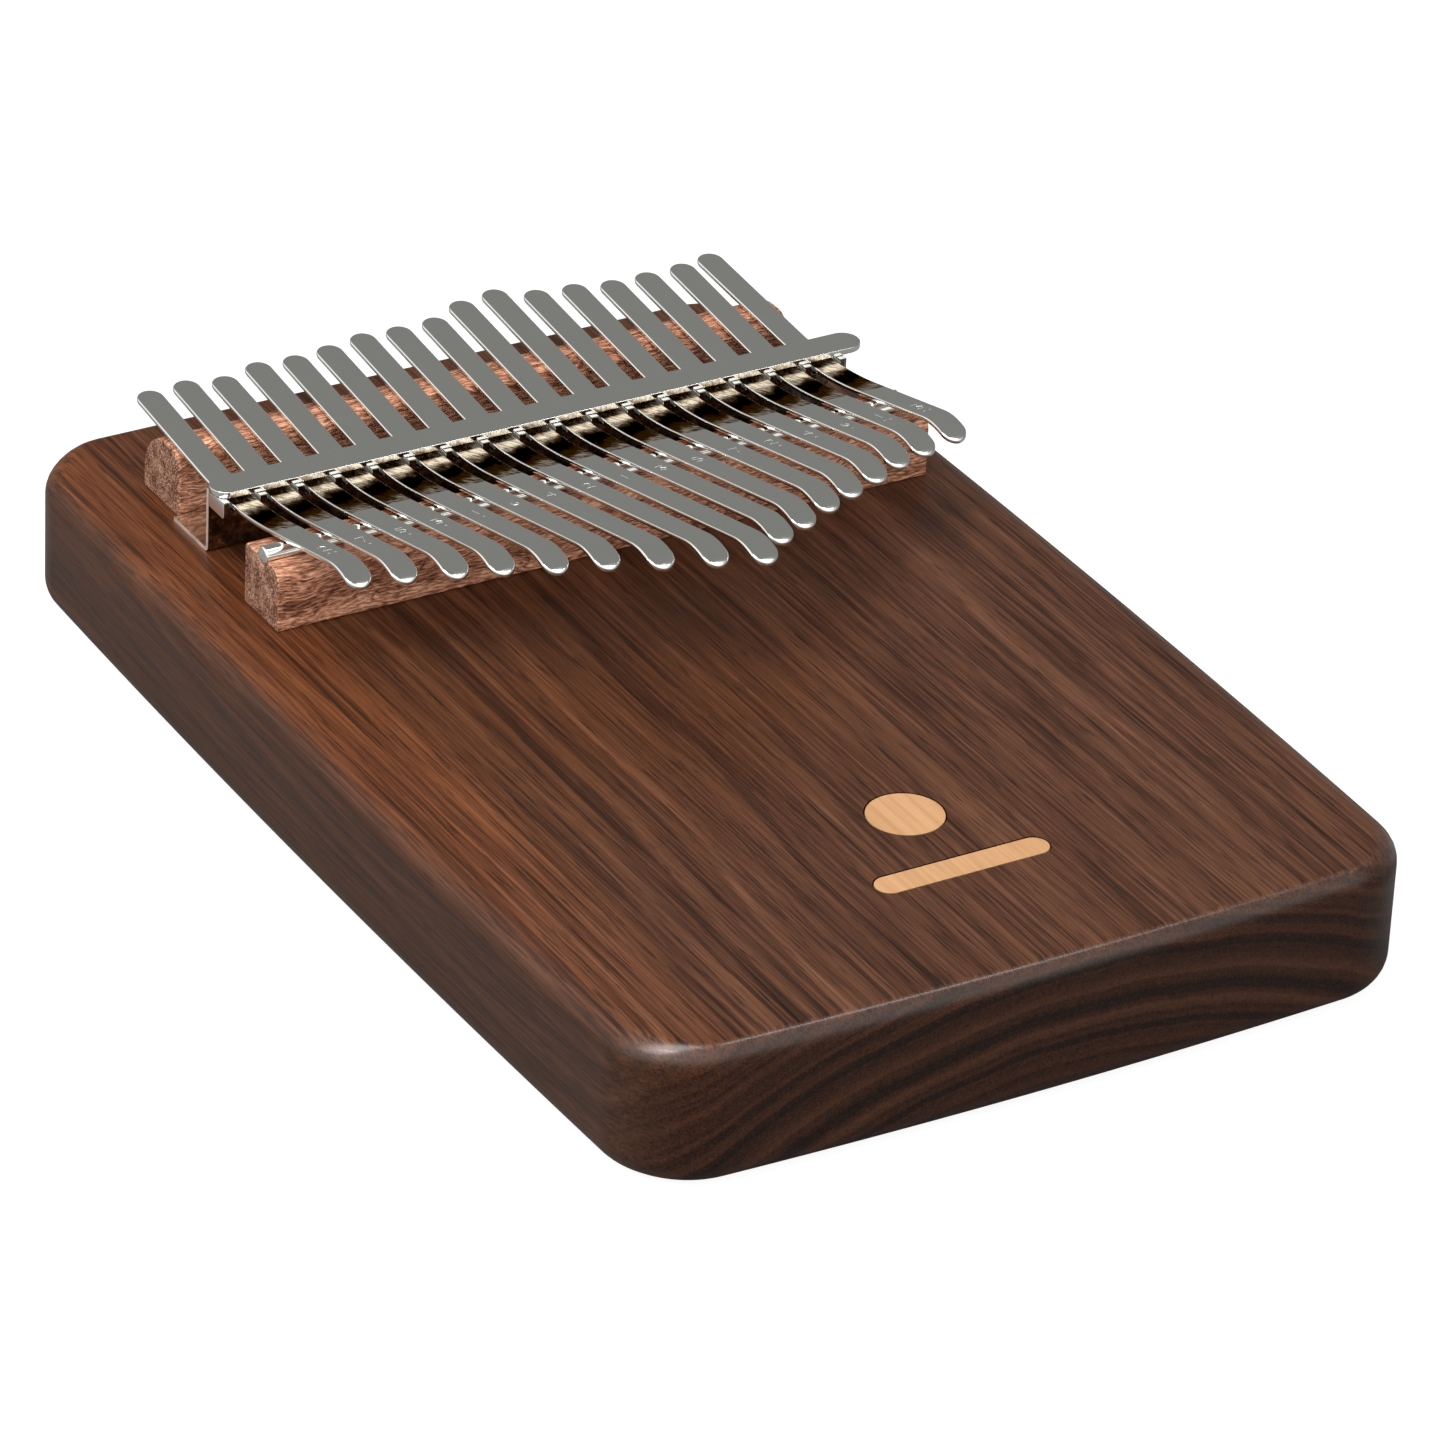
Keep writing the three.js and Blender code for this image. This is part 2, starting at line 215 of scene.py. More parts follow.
def long_bar(low, high, half_width, stations, place, thickness, edge_top, edge_below):
    """A flat bar with full-round ends and rounded edges.

    place(along, across, depth) gives a point; depth is measured down from the top face.
    """
    arc_steps, edge_steps = 12, 4
    quarter = math.pi / 2
    turns = [quarter * i / arc_steps for i in range(1, arc_steps + 1)]
    inner = [s for s in stations if low + half_width < s < high - half_width]
    profile = []
    for i in range(3):
        t = quarter * i / 2
        profile.append((edge_below * (1 - math.sin(t)), thickness - edge_below * (1 - math.cos(t))))
    for i in range(edge_steps + 1):
        t = quarter * (1 - i / edge_steps)
        profile.append((edge_top * (1 - math.sin(t)), edge_top * (1 - math.cos(t))))
    rings = []
    for d, depth in profile:
        radius = half_width - d
        side = [(low + half_width - radius * math.cos(t), radius * math.sin(t)) for t in turns]
        side += [(s, radius) for s in inner]
        side += [(high - half_width + radius * math.cos(t), radius * math.sin(t)) for t in reversed(turns)]
        ring = [(low + d, 0)] + side + [(high - d, 0)] + [(a, -c) for a, c in reversed(side)]
        rings.append([place(a, c, depth) for a, c in ring])
    points, faces = loft(rings)
    del faces[-2:]
    count, sides = len(rings[0]), len(inner) + 2 * arc_steps
    for base, flip in ((0, True), ((len(rings) - 1) * count, False)):
        right = [base + 1 + i for i in range(sides)]
        left = [base + 1 + sides + 1 + (sides - 1 - i) for i in range(sides)]
        caps = [(base, right[0], left[0]), (right[-1], base + 1 + sides, left[-1])]
        caps += [(right[i], right[i + 1], left[i + 1], left[i]) for i in range(sides - 1)]
        faces += [tuple(reversed(f)) for f in caps] if flip else caps
    return points, faces


# ---------- materials: colours are linear, noise scales are in features per metre ----------

class Nodes:
    """A node tree with short helpers."""

    def __init__(self, tree):
        self.tree = tree

    def set(self, node, values):
        for key, value in values.items():
            socket = node.inputs[key]
            if isinstance(value, bpy.types.NodeSocket):
                self.tree.links.new(value, socket)
            else:
                socket.default_value = value

    def node(self, kind, inputs=None, **properties):
        node = self.tree.nodes.new(kind)
        for key, value in properties.items():
            setattr(node, key, value)
        self.set(node, inputs or {})
        return node

    def place(self):
        return self.node("ShaderNodeTexCoord").outputs["Object"]

    def axes(self, vector):
        return self.node("ShaderNodeSeparateXYZ", {0: vector}).outputs

    def normal(self):
        return self.axes(self.node("ShaderNodeNewGeometry").outputs["Normal"])

    def math(self, operation, a, b=0.0):
        return self.node("ShaderNodeMath", {0: a, 1: b}, operation=operation).outputs[0]

    def add(self, *values):
        total = values[0]
        for value in values[1:]:
            total = self.math("ADD", total, value)
        return total

    def times(self, *values):
        total = values[0]
        for value in values[1:]:
            total = self.math("MULTIPLY", total, value)
        return total

    def smooth(self, value, low, high):
        """0 at low, 1 at high, with a soft step between them; low may be the larger one."""
        return self.node("ShaderNodeMapRange", {"Value": value, "From Min": low, "From Max": high},
                         interpolation_type="SMOOTHSTEP").outputs[0]

    def scaled(self, vector, scale):
        return self.node("ShaderNodeVectorMath", {0: vector, 1: scale}, operation="MULTIPLY").outputs[0]

    def noise(self, vector, detail=2.0, roughness=0.5, distortion=0.0):
        return self.node("ShaderNodeTexNoise", {
            "Vector": vector, "Scale": 1.0, "Detail": detail, "Roughness": roughness,
            "Distortion": distortion,
        }).outputs["Fac"]

    def line_noise(self, value, detail=3.0, roughness=0.55):
        return self.node("ShaderNodeTexNoise", {
            "W": value, "Scale": 1.0, "Detail": detail, "Roughness": roughness,
        }, noise_dimensions="1D").outputs["Fac"]

    def ramp(self, value, stops):
        node = self.node("ShaderNodeValToRGB", {"Fac": value})
        elements = node.color_ramp.elements
        while len(elements) < len(stops):
            elements.new(0.5)
        for element, (position, colour) in zip(elements, stops):
            element.position = position
            element.color = (*colour, 1)
        return node.outputs["Color"]

    def mix(self, factor, a, b, blend="MIX"):
        node = self.node("ShaderNodeMix", data_type="RGBA", blend_type=blend)
        self.set(node, {"Factor": factor})
        for index, value in ((6, a), (7, b)):
            if isinstance(value, bpy.types.NodeSocket):
                self.tree.links.new(value, node.inputs[index])
            else:
                node.inputs[index].default_value = (*value, 1)
        return node.outputs[2]

    def centred(self, noise, reach):
        return self.times(self.add(noise, -0.5), reach)

    def from_axis(self, across, height):
        return self.math("SQRT", self.add(self.times(across, across), self.times(height, height)))

    def bump(self, height, strength, distance):
        node = self.node("ShaderNodeBump", {"Height": height, "Strength": strength, "Distance": distance})
        return node.outputs["Normal"]


class Shader(Nodes):
    """A material with a Principled surface."""

    def __init__(self, name, **surface):
        self.material = bpy.data.materials.new(name)
        self.material.use_nodes = True
        super().__init__(self.material.node_tree)
        self.surface = self.tree.nodes["Principled BSDF"]
        self.set(self.surface, surface)


def walnut_figure(s, place, end_grain, fibre):
    """Growth rings about an axis along Y, under fine grain; the end faces show them as arches."""
    x, y, z = s.axes(place)[:3]
    wander = s.centred(s.noise(s.scaled(place, (11, 5, 11)), 2.0), 34 * MM)
    shiver = s.centred(s.noise(s.scaled(place, (70, 11, 70)), 2.0), 6 * MM)
    radius = s.from_axis(s.add(x, -30 * MM, wander), s.add(z, 50 * MM, shiver))
    rings = s.line_noise(s.times(radius, 260.0), 5.0, 0.66)
    grain = s.noise(s.scaled(place, (1000, 13, 1000)), 4.0, 0.72, 0.3)
    figure = s.add(s.times(rings, 0.34), s.times(grain, 0.36), s.times(fibre, 0.30))
    arch = s.from_axis(s.add(x, -6 * MM, s.times(wander, 0.35)),
                       s.times(s.add(z, 26 * MM, s.times(shiver, 0.3)), 1.7))
    arches = s.line_noise(s.times(arch, 210.0), 3.0, 0.58)
    end_figure = s.add(s.times(arches, 0.46), s.times(grain, 0.20), s.times(fibre, 0.34))
    return s.mix(end_grain, figure, end_figure)


def walnut_tone(s, place, end_grain, fibre, pores):
    """The walnut's colour, with streaks, a paler left edge, warmer rear, painted shade on the sides, and
    end faces darker partly in their own tone and partly as painted shade.
    """
    tone = s.ramp(walnut_figure(s, place, end_grain, fibre), [
        (0.36, (0.013, 0.0045, 0.0025)), (0.44, (0.044, 0.0160, 0.0078)),
        (0.50, (0.086, 0.0325, 0.0162)), (0.56, (0.122, 0.0490, 0.0255)),
        (0.65, (0.180, 0.0770, 0.0420)),
    ])
    streaks = s.smooth(s.noise(s.scaled(place, (470, 5, 470)), 4.0, 0.70, 0.6), 0.555, 0.65)
    streaks = s.times(streaks, s.smooth(end_grain, 1.0, 0.0), 0.42)
    tone = s.mix(streaks, tone, (0.024, 0.0090, 0.0050))
    tone = s.mix(s.times(pores, 0.65), tone, (0.014, 0.0055, 0.0035))
    x, y, z = s.axes(place)[:3]
    sapwood = s.times(s.smooth(x, SAPWOOD_FROM, SAPWOOD_TO), s.smooth(z, 10 * MM, 20 * MM),
                      s.add(0.45, s.times(s.smooth(y, -80 * MM, -20 * MM), 0.30)))
    tone = s.mix(sapwood, tone, (1.50, 1.30, 1.05), "MULTIPLY")
    warmth = s.times(s.smooth(y, -75 * MM, -10 * MM), s.smooth(x, 45 * MM, -15 * MM))
    tone = s.mix(warmth, tone, (0.95, 0.84, 0.64), "MULTIPLY")
    # Painted shade: faces that point sideways are darkened in colour.
    painted_side_shade = s.smooth(s.math("ABSOLUTE", s.normal()[0]), 0.45, 0.95)
    tone = s.mix(s.times(painted_side_shade, 0.55), tone, (0.034, 0.0170, 0.0105))
    # End faces darker: partly the end grain's own darker tone, partly painted shade that keeps the front
    # end dark under the front glow.
    return s.mix(end_grain, tone, (0.44, 0.375, 0.305), "MULTIPLY")


def walnut():
    """Oiled walnut with its fibres along Y and a waxed front edge."""
    s = Shader("oiled_walnut")
    place = s.place()
    y, upward = s.axes(place)[1], s.normal()[2]
    end_grain = s.smooth(s.math("ABSOLUTE", s.normal()[1]), 0.30, 0.90)
    fibre = s.noise(s.scaled(place, (2900, 52, 2900)), 2.0, 0.6)
    pores = s.smooth(s.noise(s.scaled(place, (3000, 120, 3000)), 1.0, 0.5), 0.60, 0.70)
    waxed_edge = s.times(s.smooth(y, -85 * MM, -93 * MM), s.smooth(upward, 0.99, 0.94),
                         s.smooth(upward, 0.30, 0.55), 0.8)
    s.set(s.surface, {
        "Base Color": walnut_tone(s, place, end_grain, fibre, pores),
        "Roughness": s.add(0.27, s.times(fibre, 0.16)),
        "Specular IOR Level": 0.26,
        "Coat Weight": waxed_edge, "Coat Roughness": 0.22,
        "Normal": s.bump(s.add(s.times(fibre, 0.5), s.times(pores, -0.8)), 0.30, 0.1 * MM),
    })
    return s.material


def redwood():
    """Rosy open-grained wood with its fibres along X."""
    s = Shader("rosy_hardwood")
    place = s.place()
    waver = s.centred(s.noise(s.scaled(place, (90, 130, 130)), 2.0), 3.5 * MM)
    x, y, z = s.axes(place)[:3]
    bent = s.node("ShaderNodeCombineXYZ", {0: x, 1: s.add(y, waver), 2: s.add(z, waver)}).outputs[0]
    bands = s.noise(s.scaled(bent, (14, 420, 420)), 3.0, 0.6)
    fibre = s.noise(s.scaled(bent, (420, 3300, 3300)), 2.0, 0.66)
    figure = s.add(s.times(bands, 0.35), s.times(fibre, 0.65))
    tone = s.ramp(figure, [
        (0.38, (0.09, 0.030, 0.015)), (0.47, (0.33, 0.130, 0.072)), (0.53, (0.58, 0.260, 0.150)),
        (0.63, (0.90, 0.520, 0.350)),
    ])
    pores = s.smooth(s.noise(s.scaled(bent, (520, 3600, 3600)), 1.0, 0.5), 0.58, 0.68)
    tone = s.mix(s.times(pores, 0.7), tone, (0.110, 0.038, 0.022))
    end_grain = s.smooth(s.math("ABSOLUTE", s.normal()[0]), 0.50, 0.90)
    tone = s.mix(s.times(end_grain, 0.8), tone, (0.52, 0.60, 0.70), "MULTIPLY")
    s.set(s.surface, {
        "Base Color": tone, "Roughness": 0.5, "Specular IOR Level": 0.3,
        "Normal": s.bump(s.add(fibre, s.times(pores, -1.0)), 0.5, 0.2 * MM),
    })
    return s.material


def maple():
    """Pale, nearly plain wood for the inlays."""
    s = Shader("pale_maple", Roughness=0.45)
    place = s.place()
    fibre = s.noise(s.scaled(place, (1200, 40, 1200)), 3.0, 0.6)
    tone = s.ramp(fibre, [
        (0.3, (0.51, 0.27, 0.13)), (0.55, (0.60, 0.33, 0.165)), (0.75, (0.65, 0.38, 0.20)),
    ])
    s.set(s.surface, {
        "Base Color": tone, "Specular IOR Level": 0.3, "Normal": s.bump(fibre, 0.15, 0.08 * MM),
    })
    return s.material


def steel(name, tint, roughness):
    """Metal with a faint smear, as the base of every steel here."""
    s = Shader(name, Metallic=1.0)
    smear = s.noise(s.scaled(s.place(), (300, 300, 300)), 2.0)
    s.set(s.surface, {
        "Base Color": s.mix(smear, tuple(c * 0.97 for c in tint), tint),
        "Roughness": s.add(roughness, s.times(smear, 0.04)),
    })
    return s


def painted_bend_reflections(s, along, painted_glint_specks):
    """Painted reflections: the dark and golden bands along a tine's bent length, from front to rear, with
    painted glitter.
    """
    bands = s.ramp(s.times(s.add(along, -38 * MM), 1 / (17 * MM)), [
        (0.00, (0.95, 0.90, 0.84)), (0.12, (1.00, 0.92, 0.86)), (0.22, (0.60, 0.47, 0.38)),
        (0.27, (0.22, 0.160, 0.110)), (0.38, (0.13, 0.095, 0.060)), (0.42, (0.020, 0.016, 0.010)),
        (0.58, (0.022, 0.017, 0.011)), (0.63, (0.22, 0.170, 0.120)), (0.70, (0.95, 0.80, 0.62)),
        (0.80, (1.00, 0.92, 0.78)), (0.88, (0.50, 0.37, 0.28)), (0.93, (0.10, 0.075, 0.055)),
    ])
    glitter = s.mix(painted_glint_specks, (0.16, 0.130, 0.105), (1.0, 1.0, 1.0))
    sparkle = s.add(0.45, s.times(s.smooth(along, 44.0 * MM, 41.5 * MM), 0.5))
    return s.mix(sparkle, bands, glitter, "MULTIPLY")


def spring_steel():
    """Satin steel whose bent length between the clamp and the rod carries painted dark and golden
    reflections, painted glitter and a faint painted glow.
    """
    s = steel("spring_steel", NICKEL, 0.09)
    x, y, z = s.axes(s.place())[:3]
    waves = s.noise(s.scaled(s.place(), (520, 300, 0)), 4.0, 0.65)
    across = s.add(s.math("FRACT", s.times(s.add(x, 2.2 * MM), 1 / PITCH)), -0.5)
    along = s.add(y, s.times(across, -2.6 * MM), s.centred(waves, 6 * MM))
    slant = s.node("ShaderNodeCombineXYZ", {
        0: s.add(s.times(x, 2400), s.times(y, 1500)), 1: s.times(y, 420),
    }).outputs[0]
    painted_glint_specks = s.smooth(s.noise(slant, 2.0, 0.6), 0.42, 0.56)
    upward = s.smooth(s.normal()[2], 0.90, 0.97)
    zone = s.times(s.smooth(y, BENT_FRONT - 0.3 * MM, BENT_FRONT + 0.3 * MM),
                   s.smooth(y, BENT_REAR + 0.75 * MM, BENT_REAR - 0.75 * MM), upward)
    # Painted glow: the golden band and the glints near the rod emit a little light.
    painted_gold_glow = s.times(s.smooth(along, 49 * MM, 50 * MM), s.smooth(along, 53 * MM, 51.5 * MM))
    spark = s.times(s.smooth(along, 39.2 * MM, 40 * MM), s.smooth(along, 42 * MM, 41 * MM), 0.5)
    gleam = s.times(zone, s.add(painted_gold_glow, spark), painted_glint_specks)
    plain = s.surface.inputs["Base Color"].links[0].from_socket
    s.set(s.surface, {
        # Painted reflections: the dark and golden bands replace the steel's colour on the bent length.
        "Base Color": s.mix(zone, plain, painted_bend_reflections(s, along, painted_glint_specks)),
        "Specular Tint": s.mix(zone, (1.0, 1.0, 1.0), (0.40, 0.31, 0.22)),
        "Emission Color": (1.0, 0.84, 0.66, 1.0), "Emission Strength": s.times(gleam, 0.20),
    })
    return s.material


def shaded_steel(name, rim_gleam):
    """Polished steel with painted shade and painted dark and golden reflections on its front faces below
    the tines, and a painted glow on its end faces.
    """
    s = steel(name, NICKEL, 0.08)
    x, y, z = s.normal()[:3]
    plain = s.surface.inputs["Base Color"].links[0].from_socket
    mottle = s.noise(s.scaled(s.place(), (700, 700, 700)), 3.0, 0.65)
    painted_shade_tone = s.ramp(mottle, [
        (0.40, (0.07, 0.055, 0.040)), (0.58, (0.42, 0.340, 0.250)), (0.66, (0.9, 0.80, 0.66)),
    ])
    painted_front_shade = s.smooth(y, -0.80, -0.95)
    rim = s.smooth(s.math("ABSOLUTE", x), 0.60, 0.80)
    gleam = s.times(rim, s.add(0.3, mottle), rim_gleam)
    # Painted shade and reflections on the front faces; a painted glow on the end faces.
    s.set(s.surface, {
        "Base Color": s.mix(s.times(painted_front_shade, 0.9), plain, painted_shade_tone),
        "Emission Color": (1.0, 0.93, 0.86, 1.0), "Emission Strength": gleam,
    })
    return s.material


NICKEL = (0.95, 0.945, 0.915)
WALNUT = walnut()
REDWOOD = redwood()
MAPLE = maple()
SPRING_STEEL = spring_steel()
POLISHED_STEEL = steel("polished_steel", NICKEL, 0.08).material
BRACKET_STEEL = shaded_steel("bracket_steel", 0.30)
ANVIL_STEEL = shaded_steel("anvil_steel", 0.06)
MARK_STEEL = steel("bright_mark", (1.0, 1.0, 0.98), 0.3).material


# ---------- the board and its inlays ----------

def board_ring(inset_side, inset_end, z):
    """The board's outline with its bowed sides and front, pulled in from the sides and the ends."""
    half_x = (BOARD_HIGH.x - BOARD_LOW.x) / 2 - BOW_SIDE
    half_y = (BOARD_HIGH.y - BOARD_LOW.y - BOW_FRONT) / 2
    middle_y = BOARD_HIGH.y - half_y
    corner_steps, side_steps = 20, 36
    rough = []
    for i, (sx, sy) in enumerate(((1, 1), (-1, 1), (-1, -1), (1, -1))):
        for step in range(corner_steps + 1):
            angle = (i + step / corner_steps) * math.pi / 2
            rough.append((sx * (half_x - CORNER) + (CORNER - inset_side) * math.cos(angle),
                          sy * (half_y - CORNER) + (CORNER - inset_end) * math.sin(angle)))
    ring = []
    for i, (x, y) in enumerate(rough):
        next_x, next_y = rough[(i + 1) % len(rough)]
        steps = side_steps if (i + 1) % (corner_steps + 1) == 0 else 1
        for step in range(steps):
            px, py = x + (next_x - x) * step / steps, y + (next_y - y) * step / steps
            bow_x = BOW_SIDE * (1 - (py / half_y) ** 2) * px / half_x
            bow_y = BOW_FRONT * (1 - (px / half_x) ** 2) * py / half_y if py < 0 else 0
            ring.append((px + bow_x, py + bow_y + middle_y, z))
    return ring


def build_board():
    """The board with quarter-round edges, pocketed for its inlays, and the inlays themselves."""
    steps = 9
    turns = [math.pi / 2 * i / steps for i in range(steps + 1)]
    rings = []
    for t in turns:
        pull, lift = 1 - math.sin(t), 1 - math.cos(t)
        rings.append(board_ring(ROUND_BELOW * pull, ROUND_BELOW * pull, ROUND_BELOW * lift))
    for t in reversed(turns):
        pull, lift = 1 - math.sin(t), 1 - math.cos(t)
        deep = (ROUND_SIDE + ROUND_END) / 2
        rings.append(board_ring(ROUND_SIDE * pull, ROUND_END * pull, TOP - deep * lift))
    board = make("board_slab", *loft(rings), WALNUT)
    inlays = ("inlay_disc", "inlay_bar")
    gap = Vector((INLAY_GAP, INLAY_GAP, 0))
    cutters = []
    for node in inlays:
        low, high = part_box(node)
        pocket = stadium(low - gap, high + gap, 24)
        cutters.append(make("cutter", *upright(pocket, low.z, TOP + MM), None))
    settle(flat_normals(finish_mesh(carve(board, cutters))), "walnut", "board")
    for node in inlays:
        build_inlay(node)


def build_inlay(node):
    low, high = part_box(node)
    levels = ((low.z, 0), (TOP - INLAY_EDGE, 0),
              (TOP - 0.3 * INLAY_EDGE, 0.3 * INLAY_EDGE), (TOP, INLAY_EDGE))
    rings = []
    for height, pull in levels:
        shrink = Vector((pull, pull, 0))
        rings.append([(x, y, height) for x, y in stadium(low + shrink, high - shrink, 24)])
    settle(flat_normals(make(node + "_maple", *loft(rings), MAPLE)), "maple", node)


def settle(obj, slot_name, *nodes):
    """Fixes a piece to the root body in the place of its CAD nodes."""
    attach(obj, "root")
    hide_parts(*nodes)


# ---------- wooden bars and the rod ----------

def build_rear_bar():
    """A block with a small round at the top front and a large one at the top rear."""
    low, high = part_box("rear_bar")
    front, rear, foot, end = 3.0 * MM, 7.5 * MM, 0.5 * MM, 0.6 * MM
    outline = (arc((low.y + foot, low.z + foot), foot, 180, 270, 2)
               + arc((high.y - foot, low.z + foot), foot, -90, 0, 2)
               + arc((high.y - rear, high.z - rear), rear, 0, 90, 14)
               + arc((low.y + front, high.z - front), front, 90, 180, 8))
    bar = make("rear_bridge_bar", *prism(outline, low.x, high.x, end), REDWOOD)
    settle(flat_normals(bar), "redwood", "rear_bar")


def build_front_bar():
    """A block with a round groove along its top, in which the rod lies."""
    low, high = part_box("front_bar")
    rod_low, rod_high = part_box("front_rod")
    clearance = 0.12 * MM
    radius = (rod_high.z - rod_low.z) / 2 + clearance
    centre = ((rod_low.y + rod_high.y) / 2, (rod_low.z + rod_high.z) / 2)
    dip = math.degrees(math.asin((centre[1] - high.z) / radius))
    groove = arc(centre, radius, -dip, -180 + dip, 10)
    front, rear, foot, end = 2.4 * MM, 0.8 * MM, 0.4 * MM, 0.35 * MM
    outline = (arc((low.y + foot, low.z + foot), foot, 180, 270, 2)
               + arc((high.y - foot, low.z + foot), foot, -90, 0, 2)
               + arc((high.y - rear, high.z - rear), rear, 0, 90, 4)
               + groove
               + arc((low.y + front, high.z - front), front, 90, 180, 8))
    bar = make("front_bridge_bar", *prism(outline, low.x, high.x, end), REDWOOD)
    settle(flat_normals(bar), "redwood", "front_bar")


def build_rod():
    low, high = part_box("front_rod")
    radius, chamfer = (high.z - low.z) / 2, 0.35 * MM
    middle = (low + high) / 2
    outline = arc((middle.y, middle.z), radius, 0, 352.5, 47)
    rod = make("bearing_rod", *prism(outline, low.x, high.x, chamfer, 4), POLISHED_STEEL)
    settle(flat_normals(rod), "polished_steel", "front_rod")


# ---------- bracket, anvil, clamp strip and screws ----------

def slot_cutters(y, top):
    """One upright cutter for each tine's slot, over a span of Y and up to a height."""
    half = TINE_WIDTH / 2 + SLOT_GAP
    return [box_cutter((pivot.x - half, pivot.x + half), y, (TOP + SLOT_FLOOR, top)) for pivot in PIVOTS]


def build_bracket():
    """A folded sheet: a flange on the board and a slotted wall at its front."""
    low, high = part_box("bracket")
    inner = SHEET_BEND - SHEET
    wall = low.y + SHEET
    outline = (arc((low.y + SHEET_BEND, low.z + SHEET_BEND), SHEET_BEND, 180, 270, 8)
               + [(high.y, low.z), (high.y, low.z + SHEET)]
               + arc((wall + inner, low.z + SHEET + inner), inner, 270, 180, 4)
               + [(wall, high.z), (low.y, high.z)])
    bracket = make("folded_bracket", *prism(outline, low.x, high.x), BRACKET_STEEL)
    cutters = slot_cutters((low.y - MM, wall + MM), high.z + MM)
    for node in screw_nodes():
        screw_low, screw_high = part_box(node)
        centre = (screw_low + screw_high) / 2
        hole = arc((centre.x, centre.y), SCREW_HOLE, 0, 345, 23)
        cutters.append(make("cutter", *upright(hole, TOP - MM, TOP + 2 * MM), None))
    carve(bracket, cutters)
    settle(flat_normals(bevel(bracket, SHEET_EDGE)), "polished_steel", "bracket")


def build_anvil():
    low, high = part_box("anvil_bar")
    rear = high.y - ANVIL_GAP
    outline = (arc((low.y + ANVIL_FOOT, low.z + ANVIL_FOOT), ANVIL_FOOT, 180, 270, 6)
               + [(rear, low.z), (rear, high.z), (low.y, high.z)])
    anvil = make("notched_anvil", *prism(outline, low.x, high.x), ANVIL_STEEL)
    carve(anvil, slot_cutters((low.y - MM, high.y + MM), high.z + MM))
    settle(flat_normals(bevel(anvil, ANVIL_EDGE)), "polished_steel", "anvil_bar")


def build_strip():
    low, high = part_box("clamp_strip")
    middle, half = (low.y + high.y) / 2, (high.y - low.y) / 2
    spans = 24
    stations = [low.x + (high.x - low.x) * i / spans for i in range(spans + 1)]

    def place(along, across, depth):
        return along, middle - across, high.z - depth

    points, faces = long_bar(low.x, high.x, half, stations, place,
                             high.z - low.z, STRIP_EDGE_TOP, STRIP_EDGE_BELOW)
    strip = flat_normals(make("clamp_plate", points, faces, POLISHED_STEEL))
    settle(strip, "polished_steel", "clamp_strip")


def screw_nodes():
    return sorted(n for n in frame["nodes"] if n.startswith("bracket_screw"))


def build_screw(name, node):
    """A pan-head screw with a tapered tip and a cross recess."""
    low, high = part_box(node)
    centre = (low + high) / 2
    seat = TOP + SHEET
    radius, height = (high.x - low.x) / 2, high.z - seat
    tip, taper, shank, gap = 0.3 * MM, 0.63 * MM, 1.05 * MM, 0.02 * MM
    rim, shoulder = 0.1 * MM, 0.4 * height
    profile = [(tip, low.z), (taper, low.z + 0.8 * MM), (shank, low.z + 2 * MM), (shank, seat - gap),
               (radius - rim, seat), (radius, seat + rim), (radius, seat + shoulder)]
    profile += [(radius * math.cos(t), seat + shoulder + (height - shoulder) * math.sin(t))
                for t in (0.35, 0.7, 1.05, 1.3)]
    rings = [[(x, y, z) for x, y in arc((centre.x, centre.y), r, 0, 350, 35)] for r, z in profile]
    screw = make(name, *loft(rings), POLISHED_STEEL)
    long, narrow = 1.2 * MM, 0.3 * MM
    recess = (high.z - 0.7 * MM, high.z + MM)
    carve(screw, [
        box_cutter((centre.x - x, centre.x + x), (centre.y - y, centre.y + y), recess)
        for x, y in ((long, narrow), (narrow, long))
    ])
    settle(flat_normals(finish_mesh(screw)), "polished_steel", node)


def build_screws():
    for index, node in enumerate(screw_nodes()):
        build_screw(f"flange_screw_{index + 1}", node)


# ---------- tines ----------

def tine_height(y, tip_y):
    """Height of a tine's top face: two slopes joined by a parabola, with a dropping tip."""
    d = y - VALLEY_Y
    if d > VALLEY_BLEND:
        height = VALLEY_HEIGHT + REAR_SLOPE * d
    elif d < -VALLEY_BLEND:
        height = VALLEY_HEIGHT - FRONT_SLOPE * d
    else:
        curve = (REAR_SLOPE + FRONT_SLOPE) / (4 * VALLEY_BLEND)
        height = VALLEY_HEIGHT + curve * (d + VALLEY_BLEND) ** 2 - FRONT_SLOPE * d
    past = max(0.0, tip_y + TIP_BEND - y)
    return TOP + height - TIP_CURVE * past ** 2


# Strokes of each number, in a box 1 wide and 1.5 high.
DIGITS = {
    1: [[(0.5, 0), (0.5, 1.5)]],
    2: [[(0, 1.25), (0.35, 1.5), (0.85, 1.3), (0.8, 0.9), (0, 0), (1, 0)]],
    3: [[(0, 1.5), (0.9, 1.5), (0.4, 0.9), (0.95, 0.55), (0.7, 0.05), (0, 0.1)]],
    4: [[(0.75, 0), (0.75, 1.5), (0, 0.5), (1, 0.5)]],
    5: [[(0.9, 1.5), (0.1, 1.5), (0.05, 0.85), (0.7, 0.9), (0.95, 0.45), (0.6, 0), (0, 0.1)]],
    6: [[(0.8, 1.5), (0.15, 0.75), (0.15, 0.2), (0.6, 0), (0.95, 0.35), (0.75, 0.75), (0.2, 0.6)]],
    7: [[(0, 1.5), (1, 1.5), (0.4, 0)]],
}
# The scale degree of each tine, left to right, and how many octave dots it carries.
DEGREES = [(2, 2), (7, 1), (5, 1), (3, 1), (1, 1), (6, 0), (4, 0), (2, 0), (1, 0),
           (3, 0), (5, 0), (7, 0), (2, 1), (4, 1), (6, 1), (1, 2), (3, 2)]


